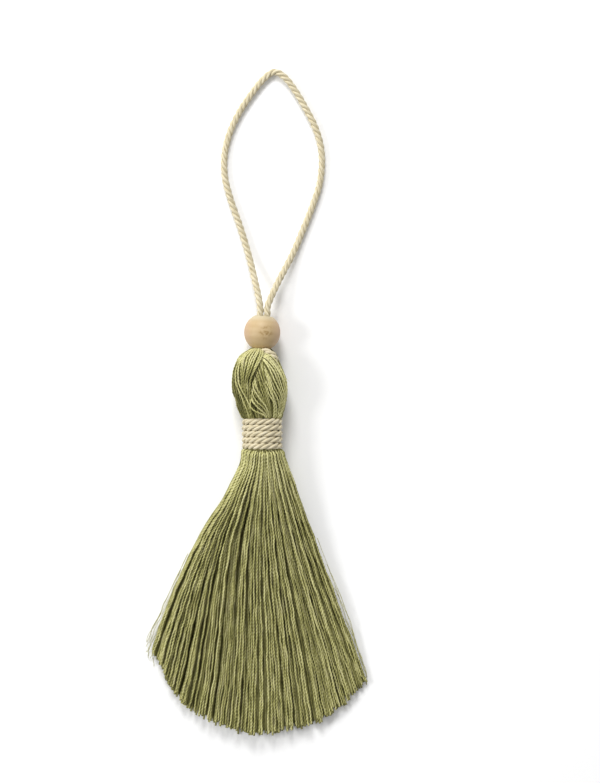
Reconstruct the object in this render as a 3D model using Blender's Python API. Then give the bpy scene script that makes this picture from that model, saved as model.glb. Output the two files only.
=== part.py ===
"""Yarn tassel laid on its back: a green hank folded into a round head, bound at
the neck with five turns of cord and spread into a skirt, under a wooden bead
and a hanging loop of twisted cord.

Metres, +Z up. The tassel lies on the plane z = 0 with its loop towards +Y and
its cut ends towards -Y. The origin is on the flat underside of the skirt, on
the tassel's axis, halfway between the binding and the longest cut end.
"""

from math import acos, cos, pi, radians, sin
from typing import NamedTuple

import bmesh
import bpy
from mathutils import Vector

MM = 0.001
CLEARANCE = 0.3 * MM  # left between two pieces that touch

# Cord, used for the loop and for the binding
CORD_DIAMETER = 3.0 * MM
CORD_STEP = 7.0 * MM  # distance between two rings of the loop's tube
CORD_BEVEL = 2  # eight sides

# Bead, leaning towards +X as it goes up
BEAD_RADIUS = 8.0 * MM
BEAD_HALF_HEIGHT = 8.1 * MM  # of the whole oval, before its mouths are cut
BEAD_BORE = 3.45 * MM
BEAD_MOUTH_ROUND = 0.35 * MM
BEAD_CENTRE = Vector((0.05, 115.0, 8.0)) * MM
BEAD_LEAN = radians(5.5)
BEAD_SIDES = 32
BEAD_BANDS = 12

# Binding: five turns side by side round the neck
TURNS = 5
TURN_PITCH = 2.71 * MM  # less than the cord's thickness: it is wound tight
TURN_BULGE = 0.45 * TURN_PITCH  # how far a turn's round back stands over the valleys
TURN_POINTS = 5  # per turn, along the ring's outside
BINDING_HALF_WIDTH = 9.0 * MM
BINDING_HALF_DEPTH = 8.5 * MM
BINDING_LOW = 63.6 * MM
BINDING_HIGH = BINDING_LOW + TURNS * TURN_PITCH
BINDING_SIDES = 36
NECK_HALF_WIDTH = BINDING_HALF_WIDTH - TURN_PITCH - CLEARANCE
NECK_HALF_DEPTH = BINDING_HALF_DEPTH - TURN_PITCH - CLEARANCE
NECK_HEIGHT = 8.9 * MM  # the neck's middle over the surface

# Skirt
EDGE_ANGLE = radians(80.0)  # where the top of a section ends and its side begins
LOCK_STEPS = 4  # faces across a lock, on its top
LOCK_FILL = 0.74  # how much of its room a parted lock fills at its cut end
LOCK_ROUND = 1.2 * MM  # how far a lock's middle reaches past its corners
GROOVE_SHARE = 0.42  # height of a groove at the cut ends, beside the crests
SKIRT_LANDS = 0.30  # share of the skirt's length after which it lies on the surface
LEFT_END = Vector((-48.6, -26.8)) * MM  # where the skirt's left edge is cut
RIGHT_END = Vector((46.0, -39.4)) * MM
SKIRT_ROWS = (0.035, 0.085, 0.15, 0.22, 0.30, 0.40, 0.50, 0.60, 0.70, 0.78, 0.86, 0.93, 1.0)
SKIRT_BELLY = 3.3 * MM  # how far the left edge bows outwards, past halfway down

# Head: bundles of yarn that twist round it from the bead to the neck
BUNDLES = 9
BUNDLE_TWIST = radians(-55.0)
BUNDLE_GROOVE = 0.13  # depth of the valleys between bundles, as a share of the radius


class Section(NamedTuple):
    """A cross-section of the head or the neck, in millimetres."""

    y: float
    half_width: float
    half_depth: float
    middle_x: float
    middle_z: float


class Lock(NamedTuple):
    """A lock of the skirt: where its corners are cut and its height there, in
    millimetres, and the share of its length after which it parts from the lock on
    its right."""

    tip_x: float
    tip_y: float
    crest: float
    parts_at: float


NECK_X = NECK_HALF_WIDTH / MM
NECK_Z = NECK_HALF_DEPTH / MM
HEAD_AND_NECK = (
    Section(107.2, 5.0, 5.0, -0.7, 8.0),
    Section(106.5, 6.8, 6.6, -1.0, 8.3),
    Section(105.0, 8.3, 7.7, -1.5, 8.8),
    Section(102.6, 9.5, 8.5, -1.9, 9.2),
    Section(99.6, 10.6, 9.3, -1.9, 9.5),
    Section(96.0, 11.9, 9.8, -1.6, 9.7),
    Section(92.0, 12.5, 9.9, -1.2, 9.8),
    Section(88.4, 12.3, 9.8, -1.0, 9.8),
    Section(85.2, 11.4, 9.5, -0.6, 9.5),
    Section(82.2, 10.7, 9.1, -0.5, 9.2),
    Section(79.6, 9.8, 8.6, -0.3, 9.0),
    Section(78.2, 9.4, 8.3, -0.1, 8.9),
    Section(77.7, 8.7, 7.8, 0.0, 8.9),
    Section(77.5, NECK_X, NECK_Z, 0.0, 8.9),
    Section(63.3, NECK_X, NECK_Z, 0.0, 8.9),
    Section(63.1, 8.6, 7.8, 0.0, 8.9),
    Section(62.2, 9.3, 8.2, 0.2, 8.9),
)

LOCKS = (
    Lock(-46.2, -31.0, 3.4, 0.78),
    Lock(-43.4, -39.6, 4.2, 0.85),
    Lock(-38.8, -45.8, 5.0, 0.80),
    Lock(-31.4, -51.2, 6.0, 0.91),
    Lock(-25.0, -55.6, 6.8, 0.84),
    Lock(-16.2, -58.4, 7.4, 0.90),
    Lock(-9.8, -61.4, 8.0, 0.87),
    Lock(-3.6, -61.8, 8.2, 0.92),
    Lock(4.6, -60.6, 8.0, 0.83),
    Lock(11.8, -59.0, 7.6, 0.90),
    Lock(20.6, -57.8, 7.0, 0.86),
    Lock(26.8, -54.4, 6.2, 0.92),
    Lock(35.0, -50.4, 5.2, 0.84),
    Lock(41.6, -44.0, 4.0, 1.0),
)


class LoopPoint(NamedTuple):
    """A point on the loop's centreline, in millimetres."""

    x: float
    y: float
    z: float


LOOP_ROUTE = (
    LoopPoint(-2.35, 108.7, 8.0),
    LoopPoint(-1.65, 115.4, 8.0),
    LoopPoint(-0.8, 122.6, 8.0),
    LoopPoint(-0.95, 126.4, 7.8),
    LoopPoint(-1.85, 131.6, 6.8),
    LoopPoint(-3.4, 138.5, 4.9),
    LoopPoint(-6.1, 149.4, 2.4),
    LoopPoint(-9.7, 161.5, 1.7),
    LoopPoint(-13.9, 173.6, 1.6),
    LoopPoint(-16.7, 184.6, 1.6),
    LoopPoint(-16.6, 195.4, 1.6),
    LoopPoint(-13.9, 205.2, 1.6),
    LoopPoint(-9.3, 214.4, 1.6),
    LoopPoint(-3.4, 222.9, 1.6),
    LoopPoint(1.2, 228.2, 1.6),
    LoopPoint(5.4, 230.7, 1.6),
    LoopPoint(9.8, 228.4, 1.6),
    LoopPoint(14.2, 222.9, 1.6),
    LoopPoint(19.4, 214.2, 1.6),
    LoopPoint(23.9, 205.0, 1.6),
    LoopPoint(26.3, 194.6, 1.6),
    LoopPoint(25.7, 182.6, 1.6),
    LoopPoint(22.3, 171.4, 1.6),
    LoopPoint(17.7, 159.8, 1.7),
    LoopPoint(13.2, 149.4, 2.4),
    LoopPoint(7.6, 138.5, 4.9),
    LoopPoint(4.4, 131.6, 6.8),
    LoopPoint(2.4, 126.4, 7.8),
    LoopPoint(2.25, 122.6, 8.0),
    LoopPoint(1.55, 115.4, 8.0),
    LoopPoint(0.85, 108.7, 8.0),
)


def clear_scene():
    for scene_object in list(bpy.data.objects):
        bpy.data.objects.remove(scene_object, do_unlink=True)


def srgb(code):
    """Linear RGBA of a colour written as six hexadecimal digits."""
    values = [int(code[i : i + 2], 16) / 255 for i in (0, 2, 4)]
    linear = [v / 12.92 if v <= 0.04045 else ((v + 0.055) / 1.055) ** 2.4 for v in values]
    return (*linear, 1.0)


def material(name, colour, roughness):
    made = bpy.data.materials.new(name)
    made.use_nodes = True
    shader = made.node_tree.nodes["Principled BSDF"]
    shader.inputs["Base Color"].default_value = srgb(colour)
    shader.inputs["Roughness"].default_value = roughness
    shader.inputs["Metallic"].default_value = 0.0
    return made


def add_object(name, data, surface):
    made = bpy.data.objects.new(name, data)
    data.materials.append(surface)
    bpy.context.scene.collection.objects.link(made)
    return made


def mesh_object(name, bm, surface, sharp_angle):
    """Turns a bmesh into a smooth-shaded object with its sharp edges kept."""
    bmesh.ops.recalc_face_normals(bm, faces=bm.faces)
    mesh = bpy.data.meshes.new(name)
    bm.to_mesh(mesh)
    bm.free()
    mesh.shade_smooth()
    mesh.set_sharp_from_angle(angle=sharp_angle)
    return add_object(name, mesh, surface)


def blend(first, second, share):
    return first + (second - first) * share


def eased(share):
    """0 to 1 with a level start and a level end."""
    held = min(max(share, 0.0), 1.0)
    return held * held * (3.0 - 2.0 * held)


def turned_ring(profile, sides, point_at):
    """A closed profile carried once round; point_at gives the place of a profile
    point (radius, length) at an angle."""
    bm = bmesh.new()
    rings = []
    for side in range(sides):
        angle = 2.0 * pi * side / sides
        rings.append([bm.verts.new(point_at(radius, length, angle)) for radius, length in profile])
    for ring, following in zip(rings, rings[1:] + rings[:1]):
        for i in range(len(profile)):
            j = (i + 1) % len(profile)
            bm.faces.new((ring[i], ring[j], following[j], following[i]))
    return bm


# Hanging loop


def smooth_route(route, step):
    """Points about one step apart on a Catmull-Rom curve through the route."""
    ends = [2 * route[0] - route[1]], [2 * route[-1] - route[-2]]
    control = ends[0] + route + ends[1]
    points = [route[0]]
    for before, start, end, after in zip(control, control[1:], control[2:], control[3:]):
        pieces = max(1, round((end - start).length / step))
        for piece in range(1, pieces + 1):
            t = piece / pieces
            straight = 2 * start + (end - before) * t
            bend = (2 * before - 5 * start + 4 * end - after) * t**2
            turn = (3 * start - before - 3 * end + after) * t**3
            points.append((straight + bend + turn) / 2)
    return points


def build_hanging_loop(surface):
    route = [Vector(point) * MM for point in LOOP_ROUTE]
    points = smooth_route(route, CORD_STEP)
    curve = bpy.data.curves.new("hanging_loop", "CURVE")
    curve.dimensions = "3D"
    curve.bevel_depth = CORD_DIAMETER / 2
    curve.bevel_resolution = CORD_BEVEL
    curve.use_fill_caps = True
    spline = curve.splines.new("POLY")
    spline.points.add(len(points) - 1)
    for target, point in zip(spline.points, points):
        target.co = (*point, 1.0)
    spline.use_smooth = True
    return add_object("hanging_loop", curve, surface)


# Bead


def bead_profile():
    """Radius and length along the axis: up the bore, then down the round outside.
    The outside is an ellipse cut off where the rounded mouths begin."""
    mouth_radius = BEAD_BORE + BEAD_MOUTH_ROUND
    mouth_angle = acos(mouth_radius / BEAD_RADIUS)
    outside = []
    for band in range(BEAD_BANDS + 1):
        angle = blend(mouth_angle, -mouth_angle, band / BEAD_BANDS)
        outside.append((BEAD_RADIUS * cos(angle), BEAD_HALF_HEIGHT * sin(angle)))
    inner = outside[0][1] - BEAD_MOUTH_ROUND
    return [(BEAD_BORE, -inner), (BEAD_BORE, inner), *outside]


def build_bead(surface):
    def point_at(radius, length, angle):
        return Vector((radius * sin(angle), length, radius * cos(angle)))

    bm = turned_ring(bead_profile(), BEAD_SIDES, point_at)
    bead = mesh_object("bead", bm, surface, radians(40.0))
    bead.location = BEAD_CENTRE
    bead.rotation_euler.z = -BEAD_LEAN
    return bead


# Binding


def binding_profile():
    """Distance from the ring's outside and place along the neck: a straight
    inside and five round turns outside."""
    profile = [(-TURN_PITCH, BINDING_HIGH), (-TURN_PITCH, BINDING_LOW)]
    for turn in range(TURNS):
        for point in range(TURN_POINTS):
            share = point / (TURN_POINTS - 1)
            if turn and point == 0:
                continue
            inset = TURN_BULGE * (2.0 * share - 1.0) ** 2
            profile.append((-inset, BINDING_LOW + (turn + share) * TURN_PITCH))
    return profile


def build_neck_binding(surface):
    def point_at(inset, y, angle):
        x = (BINDING_HALF_WIDTH + inset) * sin(angle)
        z = NECK_HEIGHT + (BINDING_HALF_DEPTH + inset) * cos(angle)
        return Vector((x, y, z))

    bm = turned_ring(binding_profile(), BINDING_SIDES, point_at)
    return mesh_object("neck_binding", bm, surface, radians(50.0))


# Hank: head, neck and skirt in one


def twist_groove(angle, y):
    """How far the head's surface sinks between two of its twisted bundles."""
    bottom = BINDING_HIGH / MM
    share = (y - bottom) / (HEAD_AND_NECK[0].y - bottom)
    if share <= 0.0:
        return 0.0
    phase = BUNDLES * (angle - BUNDLE_TWIST * share)
    return BUNDLE_GROOVE * sin(pi * min(share, 1.0)) * (0.5 - 0.5 * cos(phase)) ** 3


def section_point(section, angle):
    """A point of a head or neck section; angle 0 is its top, pi its underside."""
    size = 1.0 - twist_groove(angle, section.y)
    x = section.middle_x + size * section.half_width * sin(angle)
    z = section.middle_z + size * section.half_depth * cos(angle)
    return Vector((x, section.y, max(z, 0.0))) * MM


def lock_angle(lock, across):
    """Angle round the neck of a place on a lock, from its left groove to its right."""
    return blend(-EDGE_ANGLE, EDGE_ANGLE, (lock + across) / len(LOCKS))


def tip(lock):
    return Vector((LOCKS[lock].tip_x, LOCKS[lock].tip_y)) * MM


def line_end(line):
    """Plan end of a groove line between two locks, or of an outer edge."""
    if line == 0:
        return LEFT_END
    if line == len(LOCKS):
        return RIGHT_END
    return (tip(line - 1) + tip(line)) / 2


def groove_height(line, along):
    """Height of the skirt's top on a groove line."""
    last = len(LOCKS) - 1
    crest = (LOCKS[max(line - 1, 0)].crest + LOCKS[min(line, last)].crest) / 2 * MM
    start = section_point(HEAD_AND_NECK[-1], lock_angle(line, 0.0)).z
    return blend(start, crest * GROOVE_SHARE, along**0.8)


def crest_height(lock, across, along):
    start = section_point(HEAD_AND_NECK[-1], lock_angle(lock, across)).z
    return blend(start, LOCKS[lock].crest * MM, along**0.9)


def side_plan(lock, side, along):
    """Plan place of a lock's left (0) or right (1) side: on the groove line it
    shares, then away from it once the locks have parted."""
    line = lock + side
    start = section_point(HEAD_AND_NECK[-1], lock_angle(line, 0.0)).xy
    end = line_end(line)
    plan = blend(start, end, along)
    leftness = max(0.0, 1.0 - 2.0 * line / len(LOCKS))
    plan.x -= SKIRT_BELLY * leftness * sin(pi * along**1.5)
    if parted(lock, side, along):
        own_end = blend(tip(lock), end, LOCK_FILL)
        opening = eased((along - parting(line)) / (1.0 - parting(line)))
        plan += (own_end - end) * opening
    return plan


def parting(line):
    """Share of the length after which the locks beside a groove line are apart."""
    return LOCKS[line - 1].parts_at


def parted(lock, side, along):
    line = lock + side
    return 0 < line < len(LOCKS) and along > parting(line)


def skirt_top(lock, step, along):
    across = step / LOCK_STEPS
    left = side_plan(lock, 0, along)
    right = side_plan(lock, 1, along)
    plan = blend(left, right, across)
    round_end = LOCK_ROUND * sin(pi * across) * eased((along - 0.8) / 0.2)
    plan += (tip(lock) - Vector((0.0, BINDING_LOW))).normalized() * round_end
    grooves = blend(groove_height(lock, along), groove_height(lock + 1, along), across)
    height = blend(grooves, crest_height(lock, across, along), sin(pi * across))
    return Vector((*plan, height))


def skirt_underside(lock, side, along):
    plan = side_plan(lock, side, along)
    start = section_point(HEAD_AND_NECK[-1], pi - lock_angle(lock, side)).z
    height = blend(start, 0.0, eased(along / SKIRT_LANDS))
    return Vector((*plan, height))


class HankGrid:
    """The hank's vertices, made once for each place. Rows run from the head's top
    to the cut ends. Two neighbouring locks share their groove line's vertices
    until they part."""

    def __init__(self):
        self.bm = bmesh.new()
        self.sections = len(HEAD_AND_NECK)
        self.rows = self.sections + len(SKIRT_ROWS)
        self.made = {}

    def along(self, row):
        return SKIRT_ROWS[row - self.sections] if row >= self.sections else 0.0

    def is_parted(self, row, lock, side):
        return parted(lock, side, self.along(row))

    def top(self, row, lock, step):
        if step == LOCK_STEPS and lock + 1 < len(LOCKS) and not self.is_parted(row, lock, 1):
            lock, step = lock + 1, 0
        if row < self.sections:
            angle = lock_angle(lock, step / LOCK_STEPS)
            return self.vertex(("top", row, lock, step), section_point(HEAD_AND_NECK[row], angle))
        return self.vertex(("top", row, lock, step), skirt_top(lock, step, self.along(row)))

    def underside(self, row, lock, side):
        if side and lock + 1 < len(LOCKS) and not self.is_parted(row, lock, 1):
            lock, side = lock + 1, 0
        if row < self.sections:
            angle = pi - lock_angle(lock, side)
            return self.vertex(("low", row, lock, side), section_point(HEAD_AND_NECK[row], angle))
        return self.vertex(("low", row, lock, side), skirt_underside(lock, side, self.along(row)))

    def vertex(self, key, place):
        if key not in self.made:
            self.made[key] = self.bm.verts.new(place)
        return self.made[key]

    def end_face(self, row, lock):
        """Closes a lock's column across its end row."""
        upper = [self.top(row, lock, step) for step in range(LOCK_STEPS + 1)]
        lower = [self.underside(row, lock, 1), self.underside(row, lock, 0)]
        self.bm.faces.new(upper + lower)

    def side_wall(self, row, lock, side):
        step = side * LOCK_STEPS
        corners = (
            self.top(row, lock, step),
            self.top(row + 1, lock, step),
            self.underside(row + 1, lock, side),
            self.underside(row, lock, side),
        )
        self.bm.faces.new(corners)

    def lock_faces(self, row, lock):
        """The top and underside of a lock between two rows, with the walls that show."""
        for step in range(LOCK_STEPS):
            corners = (
                self.top(row, lock, step),
                self.top(row, lock, step + 1),
                self.top(row + 1, lock, step + 1),
                self.top(row + 1, lock, step),
            )
            self.bm.faces.new(corners)
        corners = (
            self.underside(row, lock, 0),
            self.underside(row, lock, 1),
            self.underside(row + 1, lock, 1),
            self.underside(row + 1, lock, 0),
        )
        self.bm.faces.new(corners)
        if lock == 0 or self.is_parted(row + 1, lock, 0):
            self.side_wall(row, lock, 0)
        if lock == len(LOCKS) - 1 or self.is_parted(row + 1, lock, 1):
            self.side_wall(row, lock, 1)


def build_yarn_hank(surface):
    grid = HankGrid()
    for lock in range(len(LOCKS)):
        for row in range(grid.rows - 1):
            grid.lock_faces(row, lock)
        grid.end_face(0, lock)
        grid.end_face(grid.rows - 1, lock)
    return mesh_object("yarn_hank", grid.bm, surface, radians(60.0))


def build_tassel():
    clear_scene()
    ivory_cord = material("ivory cord", "E6D9B8", 0.8)
    green_yarn = material("green yarn", "8E8A5C", 0.9)
    pale_wood = material("pale wood", "CDB48B", 0.55)
    build_yarn_hank(green_yarn)
    build_neck_binding(ivory_cord)
    build_bead(pale_wood)
    build_hanging_loop(ivory_cord)


build_tassel()
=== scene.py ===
"""Looks of a yarn tassel that lies on its back: two-ply yarn in the head and the
skirt, laid cotton cord in the loop and the binding, and a turned wooden bead.

Sizes are in metres in the objects and in millimetres in the tables. Every yarn,
cord and fibre is a tube: a section carried along a path, worked out as one numpy
array of shape (tubes, rings, sides, 3).
"""

from math import pi, radians
from typing import NamedTuple

import bpy
import numpy as np
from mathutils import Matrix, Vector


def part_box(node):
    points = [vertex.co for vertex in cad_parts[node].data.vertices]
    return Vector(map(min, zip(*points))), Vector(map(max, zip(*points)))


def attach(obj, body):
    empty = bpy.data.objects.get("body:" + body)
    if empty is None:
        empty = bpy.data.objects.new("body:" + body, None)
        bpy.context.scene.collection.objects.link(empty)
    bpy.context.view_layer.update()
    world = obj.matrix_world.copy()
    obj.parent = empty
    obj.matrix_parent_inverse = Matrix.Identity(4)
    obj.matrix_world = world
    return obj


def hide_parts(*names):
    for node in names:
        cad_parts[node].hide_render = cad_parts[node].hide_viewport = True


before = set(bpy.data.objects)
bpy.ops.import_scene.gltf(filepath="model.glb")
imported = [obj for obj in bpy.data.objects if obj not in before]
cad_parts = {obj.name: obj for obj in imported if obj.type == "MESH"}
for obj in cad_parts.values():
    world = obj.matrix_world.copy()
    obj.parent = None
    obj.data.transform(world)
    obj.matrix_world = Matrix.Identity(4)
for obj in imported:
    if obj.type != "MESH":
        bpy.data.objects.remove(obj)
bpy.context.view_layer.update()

MM = 0.001
BODY = "root"
BAKE_MAP = "OFBake"  # a map with room of its own for each tube
YARN_MAP = "yarn"  # length along a tube and place round it, both in metres

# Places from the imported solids
bead_low, bead_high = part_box("bead")
binding_low, binding_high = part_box("neck_binding")

# Cord
CORD_DIAMETER = 3.0 * MM
CORD_LAY = 8.8 * MM  # length in which a strand goes once round the cord
CORD_STRANDS = 3
CORD_HELIX = 0.80 * MM  # from the cord's middle to a strand's middle
CORD_STRAND_RADIUS = 0.71 * MM
CORD_RING_STEP = 0.3 * MM
CORD_HAND = -1.0  # S-laid

# Bead
BEAD_LEAN = radians(5.5)
BEAD_BORE = 3.3 * MM  # radius
BEAD_HALF_HEIGHT = 8.15 * MM  # of the whole oval, before its mouths are cut
BEAD_MOUTH_ROUND = 0.45 * MM
BEAD_SIDES = 96
RING_SPACING = 2.6 * MM  # of the wood's growth rings
WOOD_EYE = (1.8 * MM, -0.2 * MM, 7.6 * MM)  # middle of its darker rings, from the bead's

# Binding
TURNS = 5
TURN_PITCH = (binding_high.y - binding_low.y) / TURNS

# Yarn
YARN_RADIUS = 0.56 * MM  # across both plies
PLY_SHARE = 0.7  # how far a ply's middle is from the yarn's, in ply radii
PLY_TURN = 3.1 * MM  # length in which the plies go once round each other
YARN_HAND = 1.0
# Painted shade in the groove between the plies and painted highlight on a yarn's outer side, both
# in tone
GROOVE_PAINTED_SHADE = 0.95  # how much darker the groove between the plies is, in tone
CREST_PAINTED_HIGHLIGHT = 0.27  # how much paler the outer side of a yarn is than its flanks, in tone

# Camera and light
VIEW_MIDDLE = (16.7 * MM, 88.9 * MM)
VIEW_HEIGHT = 348.0 * MM  # what the picture takes in, top to bottom
CAMERA_HEIGHT = 1100.0 * MM
SENSOR = 36.0
WORLD_LIGHT = 0.49
KEY_POWER = 18.0
SIDE_POWER = 9.0


# Curves and tubes


def eased(share):
    """0 to 1 with a level start and end: 3 s squared less 2 s cubed."""
    held = np.clip(share, 0.0, 1.0)
    return held * held * (3.0 - 2.0 * held)


def through(control, steps):
    """Smooth curves through rows of control points: between each two rows a
    Catmull-Rom cubic, read at evenly numbered places."""
    control = np.asarray(control, float)
    rows = control.shape[-2]
    before = 2 * control[..., :1, :] - control[..., 1:2, :]
    after = 2 * control[..., -1:, :] - control[..., -2:-1, :]
    padded = np.concatenate((before, control, after), axis=-2)
    place = np.linspace(0.0, rows - 1.0, steps)
    piece = np.minimum(place.astype(int), rows - 2)
    t = (place - piece)[:, None]
    a, b, c, d = (padded[..., piece + k, :] for k in range(4))
    bend = 2 * a - 5 * b + 4 * c - d
    turn = 3 * b - a - 3 * c + d
    return 0.5 * (2 * b + (c - a) * t + bend * t**2 + turn * t**3)


def length_along(path):
    """Distance from the start of each path to each of its points."""
    step = np.linalg.norm(np.diff(path, axis=-2), axis=-1)
    start = np.zeros((*step.shape[:-1], 1))
    return np.concatenate((start, np.cumsum(step, axis=-1)), axis=-1)


def evenly(path, step):
    """One path again, with its points about a step apart."""
    along = length_along(path)
    places = np.linspace(0.0, along[-1], int(along[-1] / step) + 2)
    return np.stack([np.interp(places, along, path[:, k]) for k in range(3)], axis=-1)


def unit(vectors):
    return vectors / np.maximum(np.linalg.norm(vectors, axis=-1, keepdims=True), 1e-12)


def crossways(path, up):
    """Two directions square to each path: one turned as far towards up as it can
    be, and one beside it."""
    run = unit(np.gradient(path, axis=-2))
    up = np.broadcast_to(np.asarray(up, float), path.shape)
    over = unit(up - np.sum(up * run, axis=-1, keepdims=True) * run)
    return over, np.cross(over, run)


def tube_rings(path, up, radius, sides, turn=0.0, outline=np.ones_like):
    """Rings round each path: the point at angle a is as far out as the radius times
    the outline's share at a less the turn, cos(a) of it aside and sin(a) over. The
    first point is straight over the path."""
    over, aside = crossways(path, up)
    angle = pi / 2 + 2 * pi * np.arange(sides) / sides
    share = outline(angle - np.asarray(turn)[..., None] + np.zeros((*path.shape[:-1], 1)))
    reach = (np.broadcast_to(radius, path.shape[:-1])[..., None] * share)[..., None]
    cosine, sine = np.cos(angle)[:, None], np.sin(angle)[:, None]
    return path[..., None, :] + reach * (cosine * aside[..., None, :] + sine * over[..., None, :])


def two_plies(angle):
    """Outline of two equal plies side by side, as a share of their reach: the
    distance to the outside of two circles whose middles are PLY_SHARE apart."""
    reach = PLY_SHARE * np.abs(np.cos(angle))
    return (reach + np.sqrt(1 - (PLY_SHARE * np.sin(angle)) ** 2)) / (1 + PLY_SHARE)


def mesh_object(name, points, quads, triangles, corner_maps, point_values):
    """A smooth mesh from arrays of faces, with its UV maps and its values."""
    mesh = bpy.data.meshes.new(name)
    corners = np.concatenate((quads.ravel(), triangles.ravel())).astype(np.int32)
    starts = np.concatenate((
        np.arange(len(quads)) * 4,
        len(quads) * 4 + np.arange(len(triangles)) * 3,
    )).astype(np.int32)
    mesh.vertices.add(len(points))
    mesh.vertices.foreach_set("co", points.astype(np.float32).ravel())
    mesh.loops.add(len(corners))
    mesh.loops.foreach_set("vertex_index", corners)
    mesh.polygons.add(len(starts))
    mesh.polygons.foreach_set("loop_start", starts)
    mesh.update(calc_edges=True)
    for map_name, places in corner_maps.items():
        layer = mesh.uv_layers.new(name=map_name)
        layer.uv.foreach_set("vector", places.astype(np.float32).ravel())
    for value_name, values in point_values.items():
        attribute = mesh.attributes.new(value_name, "FLOAT", "POINT")
        attribute.data.foreach_set("value", values.astype(np.float32).ravel())
    mesh.validate()
    mesh.shade_smooth()
    made = bpy.data.objects.new(name, mesh)
    bpy.context.scene.collection.objects.link(made)
    return made


def tubes(name, rings, values=None):
    """One mesh of closed tubes. rings is (tubes, rings, sides, 3); each tube ends in
    a fan round a pole. values holds named arrays for the material, (tubes, rings)
    or (tubes, rings, sides)."""
    count, steps, sides, _ = rings.shape
    poles = rings[:, (0, -1)].mean(axis=2)
    points = np.concatenate((rings.reshape(-1, 3), poles.reshape(-1, 3)))

    grid = np.arange(count * steps * sides).reshape(count, steps, sides)
    beside = np.roll(grid, -1, axis=2)
    quads = np.stack((grid[:, :-1], beside[:, :-1], beside[:, 1:], grid[:, 1:]), axis=-1)
    pole = grid.size + np.arange(count * 2).reshape(count, 2, 1) + np.zeros((1, 1, sides), int)
    first = np.stack((pole[:, 0], beside[:, 0], grid[:, 0]), axis=-1)
    last = np.stack((pole[:, 1], grid[:, -1], beside[:, -1]), axis=-1)
    triangles = np.concatenate((first, last), axis=1)

    # Corners as (number along, number round): the fans take the row before and after
    row = np.arange(1, steps)[:, None, None] + np.zeros((1, sides, 1), int)
    side = np.arange(sides)[None, :, None] + np.zeros((steps - 1, 1, 1), int)
    quad_corners = (
        np.concatenate((row, row, row + 1, row + 1), axis=-1),
        np.concatenate((side, side + 1, side + 1, side), axis=-1),
    )
    edge = np.arange(sides)
    fan_row = np.stack((
        np.stack((edge * 0, edge * 0 + 1, edge * 0 + 1), axis=-1),
        np.stack((edge * 0 + steps + 1, edge * 0 + steps, edge * 0 + steps), axis=-1),
    ))
    fan_side = np.stack((
        np.stack((edge + 0.5, edge + 1, edge), axis=-1),
        np.stack((edge + 0.5, edge, edge + 1), axis=-1),
    ))

    along = length_along(rings.mean(axis=2))
    along = np.concatenate((along[:, :1], along, along[:, -1:]), axis=1)
    girth = 2 * pi * np.linalg.norm(rings - rings.mean(axis=2, keepdims=True), axis=-1).mean()

    def on_tubes(row_number, side_number):
        """Both maps' places for corners that every tube has alike."""
        tube = np.arange(count).reshape(-1, *([1] * row_number.ndim))
        length = along[tube, row_number[None]]
        yarn = np.stack((length + tube * 0.37, side_number[None] / sides * girth + length * 0), -1)
        strip = (tube + 0.04 + 0.92 * side_number[None] / sides) / count
        bake = np.stack((row_number[None] / (steps + 1) + 0 * strip, strip), -1)
        return yarn.reshape(-1, 2), bake.reshape(-1, 2)

    quad_yarn, quad_bake = on_tubes(*quad_corners)
    fan_yarn, fan_bake = on_tubes(fan_row, fan_side)
    corner_maps = {
        YARN_MAP: np.concatenate((quad_yarn, fan_yarn)),
        BAKE_MAP: np.concatenate((quad_bake, fan_bake)),
    }
    point_values = {}
    for value_name, array in (values or {}).items():
        around = array if array.ndim == 3 else array[..., None]
        around = around + np.zeros((1, 1, sides))
        at_poles = around[:, (0, -1)].mean(axis=2)
        point_values[value_name] = np.concatenate((around.ravel(), at_poles.ravel()))
    return mesh_object(
        name, points, quads.reshape(-1, 4), triangles.reshape(-1, 3), corner_maps, point_values
    )


# Materials


def linear(code, alpha=1.0):
    """Linear RGBA of an sRGB colour written as six hexadecimal digits."""
    value = np.array([int(code[i : i + 2], 16) for i in (0, 2, 4)]) / 255
    bright = ((value + 0.055) / 1.055) ** 2.4
    return (*np.where(value <= 0.04045, value / 12.92, bright).tolist(), alpha)


def new_material(name, **finish):
    """A material with its shader's own values set by name."""
    made = bpy.data.materials.new(name)
    made.use_nodes = True
    shader = made.node_tree.nodes["Principled BSDF"]
    for socket, value in finish.items():
        shader.inputs[socket.replace("_", " ")].default_value = value
    return made, made.node_tree, shader


def add(tree, kind, inputs=None, **settings):
    """Adds a node. inputs gives each socket, by name or number, a value or the
    output that feeds it."""
    node = tree.nodes.new(kind)
    for name, value in settings.items():
        setattr(node, name, value)
    for socket, value in (inputs or {}).items():
        if isinstance(value, bpy.types.NodeSocket):
            tree.links.new(value, node.inputs[socket])
        else:
            node.inputs[socket].default_value = value
    return node


def maths(tree, operation, *inputs):
    """What a maths node makes of its inputs. MULTIPLY_ADD is the first times the
    second, plus the third."""
    node = add(tree, "ShaderNodeMath", dict(enumerate(inputs)), operation=operation)
    return node.outputs["Value"]


def noise(tree, place, sizes, detail, roughness=0.5, dimensions="2D"):
    """Noise whose blotches have about these sizes along each direction, in metres."""
    scale = (*(1 / size for size in sizes), 1.0)[:3]
    stretched = add(tree, "ShaderNodeMapping", {"Vector": place, "Scale": scale})
    inputs = {
        "Vector": stretched.outputs["Vector"],
        "Scale": 1.0,
        "Detail": detail,
        "Roughness": roughness,
    }
    return add(tree, "ShaderNodeTexNoise", inputs, noise_dimensions=dimensions).outputs["Fac"]


def fading(tree, source, start, end, low, high, smooth=False):
    """Low up to the start, high from the end on, and a passage in between."""
    inputs = {"Value": source, "From Min": start, "From Max": end, "To Min": low, "To Max": high}
    passage = "SMOOTHSTEP" if smooth else "LINEAR"
    node = add(tree, "ShaderNodeMapRange", inputs, interpolation_type=passage)
    return node.outputs["Result"]


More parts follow.
